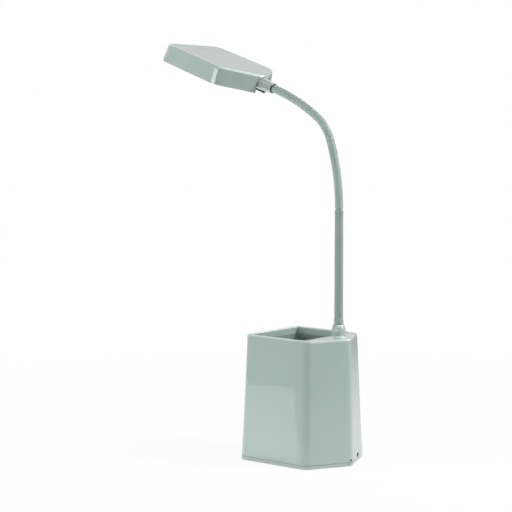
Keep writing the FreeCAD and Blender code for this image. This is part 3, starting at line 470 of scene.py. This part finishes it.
station_names = ["neck_sway_low", "neck_bend_low", "neck_bend_middle", "neck_sway_high", "neck_bend_high",
                 "neck_bend_top"]
stations = [joint_place(name) for name in station_names]
ring_low, ring_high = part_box("hose_ring")
hose_start = Vector((0.0, (ring_low[1] + ring_high[1]) / 2, ring_high[2]))
last_arc_radius = 0.190
last_arc_turn = math.radians(8.6)
hose_tail = 0.0098
points_per_arc = 14
hose_radius = 0.0040
hose_sides = 48
crease_angle = math.radians(40)


def turned_points(start, lean, radius, turn):
    """Points on the arc that leaves start at a lean from the vertical and turns by an angle."""
    centre = start + Vector((0.0, -math.cos(lean), -math.sin(lean))) * radius
    points = []
    for step in range(points_per_arc + 1):
        angle = lean + turn * step / points_per_arc
        points.append(centre + Vector((0.0, math.cos(angle), math.sin(angle))) * radius)
    return points


def arc_points(start, lean, end):
    """Points on the arc that leaves start at a lean and reaches end, and the lean there."""
    chord = end - start
    chord_lean = math.atan2(-chord.y, chord.z)
    turn = 2 * (chord_lean - lean)
    radius = chord.length / (2 * math.sin(turn / 2))
    return turned_points(start, lean, radius, turn), lean + turn


def neck_stretches():
    """One list of points for each stretch between stations, and the lean at each station."""
    stretches = []
    leans = []
    start = hose_start
    lean = 0.0
    for station in stations:
        points, lean = arc_points(start, lean, station)
        stretches.append(points)
        leans.append(lean)
        start = station
    last = turned_points(start, lean, last_arc_radius, last_arc_turn)
    last.append(last[-1] + neck_direction(lean + last_arc_turn) * hose_tail)
    stretches.append(last)
    return stretches, leans


stretches, leans = neck_stretches()


def rod_tree(name, paint):
    """Tree that runs a round section along a path and closes both ends."""
    tree = Tree(name, {"Radius": ("Float", hose_radius), "Sides": ("Int", hose_sides)})
    curve = tree.node("GeometryNodeMeshToCurve", {}, {0: tree.input("Geometry")})
    circle = tree.node("GeometryNodeCurvePrimitiveCircle", {}, {
        "Resolution": tree.input("Sides"), "Radius": tree.input("Radius")})
    skin = tree.node("GeometryNodeCurveToMesh", {}, {
        "Curve": curve, "Profile Curve": circle, "Fill Caps": True})
    tree.finish(skin, paint)
    return tree


def hose_line(index):
    """Points from the middle of one stretch, past its station, to the middle of the next. The first line
    starts at the hose's foot, and the last one reaches its end."""
    before = stretches[index]
    after = stretches[index + 1]
    first = before if index == 0 else before[len(before) // 2:]
    last = after if index == len(stations) - 1 else after[:len(after) // 2 + 1]
    return first + last[1:]


def make_hose(kind, radius, paint):
    """Rod pieces that bend smoothly over the stations, in place of the rigid stretches."""
    tree = rod_tree(kind, paint)
    for index, station in enumerate(stations):
        name = "%s_part_%d" % (kind, index + 1)
        piece = tree.apply(name, path_mesh(hose_line(index)), {"Radius": radius})
        smooth(piece.data, crease_angle)
        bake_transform(piece)
        if index == 0:
            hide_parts("%s_1" % kind, "%s_2" % kind)
        else:
            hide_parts("%s_%d" % (kind, index + 2))


make_hose("hose_skin", hose_radius, slot_finishes["hose_rubber"])


# Studio: the lamps light the object, and the glow of the floor and the sky shows only in reflections.
# Each fade, rise and fall gives where it starts and ends: in metres on the floor, as a share of 1 in the sky.

white = (1.0, 1.0, 1.0)
into_picture = (-0.766, -0.643)
front_left = (0.996, 0.087)

floor_colour = (0.86, 0.86, 0.86)
floor_roughness = 0.9
floor_half_width = 6.0
floor_white_share = 0.90
shadow_fade = (0.15, 0.75)

sheet_edge_start = (0.134, -0.036)
sheet_edge_end = (0.662, -0.473)
sheet_side_fade = (-0.002, 0.002)
sheet_end_fade = (-0.004, 0.004)
sheet_start_fade = (-0.12, 0.0)
near_fade = (0.1, 0.9)
behind_fade = (0.0, 0.4)
sheet_glow = 1.4
near_glow = 0.8
behind_glow = 0.20
floor_glow = 0.05

sky_behind_fade = (-0.1, 0.5)
sky_above_rise = (0.46, 0.56)
sky_above_fall = (0.80, 0.92)
sky_above_side_fade = (-0.35, 0.35)
sky_above_least = 0.3
sky_front_rise = (0.87, 0.92)
sky_front_fall = (0.15, 0.22)
sky_behind_glow = 0.62
sky_above_glow = 5.5
sky_front_glow = 7.2
sky_glow = 0.06
ambient_colour = (0.98, 0.995, 1.0)
ambient_light = 0.29


def level_distance(graph, direction):
    """How far a place lies in a level direction."""
    return graph.axis(0) * direction[0] + graph.axis(1) * direction[1]


def bright_sheet(paint):
    """Where the bright sheet lies on the floor: 1 on the sheet, 0 off it."""
    start = Vector(sheet_edge_start)
    edge = Vector(sheet_edge_end) - start
    along = edge.normalized()
    x = paint.axis(0) - start.x
    y = paint.axis(1) - start.y
    side = x * along.y + y * -along.x
    run = x * along.x + y * along.y
    sheet = step_up(side, *sheet_side_fade) * step_up(edge.length - run, *sheet_end_fade)
    return sheet * step_up(run, *sheet_start_fade)


def emitted(paint, strength):
    return paint.node("ShaderNodeEmission", {}, {"Color": rgba(white), "Strength": strength})


def studio_floor():
    """Pale floor: white to the camera but for a faint shadow, and a lit sheet on it in reflections."""
    paint = Paint("studio_floor", floor_colour, floor_roughness)
    values = {0: paint.place, 1: (0.0, 0.0, 0.0)}
    from_lamp = paint.node("ShaderNodeVectorMath", {"operation": "DISTANCE"}, values, "Value")
    white_share = step_up(from_lamp, *shadow_fade) * (1.0 - floor_white_share) + floor_white_share
    seen = paint.node("ShaderNodeMixShader", {}, {0: white_share, 1: paint.shaded, 2: emitted(paint, 1.0)})
    behind = step_up(level_distance(paint, into_picture), *behind_fade)
    near = step_down(from_lamp, *near_fade)
    glow = bright_sheet(paint) * sheet_glow + near * near_glow + behind * behind_glow + floor_glow
    paint.show_by_ray(paint.shaded, emitted(paint, glow), seen)
    half = floor_half_width
    mesh = bpy.data.meshes.new("floor")
    mesh.from_pydata([(-half, -half, 0), (half, -half, 0), (half, half, 0), (-half, half, 0)], [],
                     [(0, 1, 2, 3)])
    floor = bpy.data.objects.new("floor", mesh)
    bpy.context.scene.collection.objects.link(floor)
    dress(floor, paint)


def studio_sky():
    """White to the camera and soft light on the object. Reflections see bright parts of it: one behind, one
    above, and a low one in front on the left."""
    world = bpy.data.worlds.new("studio")
    bpy.context.scene.world = world
    world.use_nodes = True
    sky = ShaderGraph(world.node_tree, "ShaderNodeOutputWorld", "Generated")
    behind = step_up(level_distance(sky, into_picture), *sky_behind_fade)
    above = step_up(sky.axis(2), *sky_above_rise) * step_down(sky.axis(2), *sky_above_fall)
    to_the_side = step_up(sky.axis(1), *sky_above_side_fade)
    above = above * (to_the_side * (1.0 - sky_above_least) + sky_above_least)
    front = step_up(level_distance(sky, front_left), *sky_front_rise)
    front = front * step_down(sky.axis(2), *sky_front_fall)
    glow = behind * sky_behind_glow + above * sky_above_glow + front * sky_front_glow + sky_glow

    def background(colour, strength):
        return sky.node("ShaderNodeBackground", {}, {0: rgba(colour), 1: strength})

    ambient = background(ambient_colour, ambient_light)
    sky.show_by_ray(ambient, background(white, glow), background(white, 1.0))


def softbox(name, azimuth, low, high, width, distance, radiance, target=(0.0, 0.0, 0.2), spread=180.0,
            mirrored=True):
    """Flat lamp that faces its target. Its middle is halfway from low to high, and it is as tall as they are
    apart. Azimuth and spread are in degrees."""
    turn = math.radians(azimuth)
    height = high - low
    place = Vector((math.cos(turn) * distance, math.sin(turn) * distance, (low + high) / 2))
    data = bpy.data.lights.new(name, "AREA")
    data.shape = "RECTANGLE"
    data.size = width
    data.size_y = height
    data.spread = math.radians(spread)
    data.energy = radiance * math.pi * width * height
    obj = bpy.data.objects.new(name, data)
    obj.location = place
    obj.rotation_euler = (Vector(target) - place).to_track_quat("-Z", "Y").to_euler()
    obj.visible_camera = False
    obj.visible_glossy = mirrored
    bpy.context.scene.collection.objects.link(obj)


studio_floor()
studio_sky()
softbox("left_softbox", azimuth=-41.0, low=0.10, high=1.00, width=1.12, distance=1.5, radiance=4.85,
        mirrored=False)
softbox("right_softbox", azimuth=113.0, low=0.38, high=0.93, width=0.27, distance=0.8, radiance=5.3,
        target=(0.0, 0.05, 0.08), spread=100.0)
softbox("back_softbox", azimuth=-125.0, low=0.45, high=1.45, width=1.1, distance=1.7, radiance=1.6,
        mirrored=False)
softbox("top_softbox", azimuth=0.0, low=2.0, high=3.4, width=1.4, distance=0.0, radiance=1.0)
bpy.context.scene.view_settings.view_transform = "Standard"


# Camera, fitted to the base's outline in the photograph. Its two angles are in radians.

camera_place = Vector((1.6283, 1.3186, 0.42708))
camera_heading = -0.7020
camera_pitch = 0.1071
focal_pixels = 2140.95
picture_pixels = 512
sensor_width = 36.0
nearest_seen = 0.01
farthest_seen = 50.0


def make_camera():
    data = bpy.data.cameras.new("camera")
    data.sensor_fit = "HORIZONTAL"
    data.sensor_width = sensor_width
    data.lens = sensor_width * focal_pixels / picture_pixels
    data.clip_start = nearest_seen
    data.clip_end = farthest_seen
    obj = bpy.data.objects.new("camera", data)
    obj.location = camera_place
    look = Vector((
        -math.cos(camera_heading) * math.cos(camera_pitch),
        math.sin(camera_heading) * math.cos(camera_pitch),
        -math.sin(camera_pitch),
    ))
    obj.rotation_euler = look.to_track_quat("-Z", "Y").to_euler()
    bpy.context.scene.collection.objects.link(obj)
    bpy.context.scene.camera = obj


make_camera()
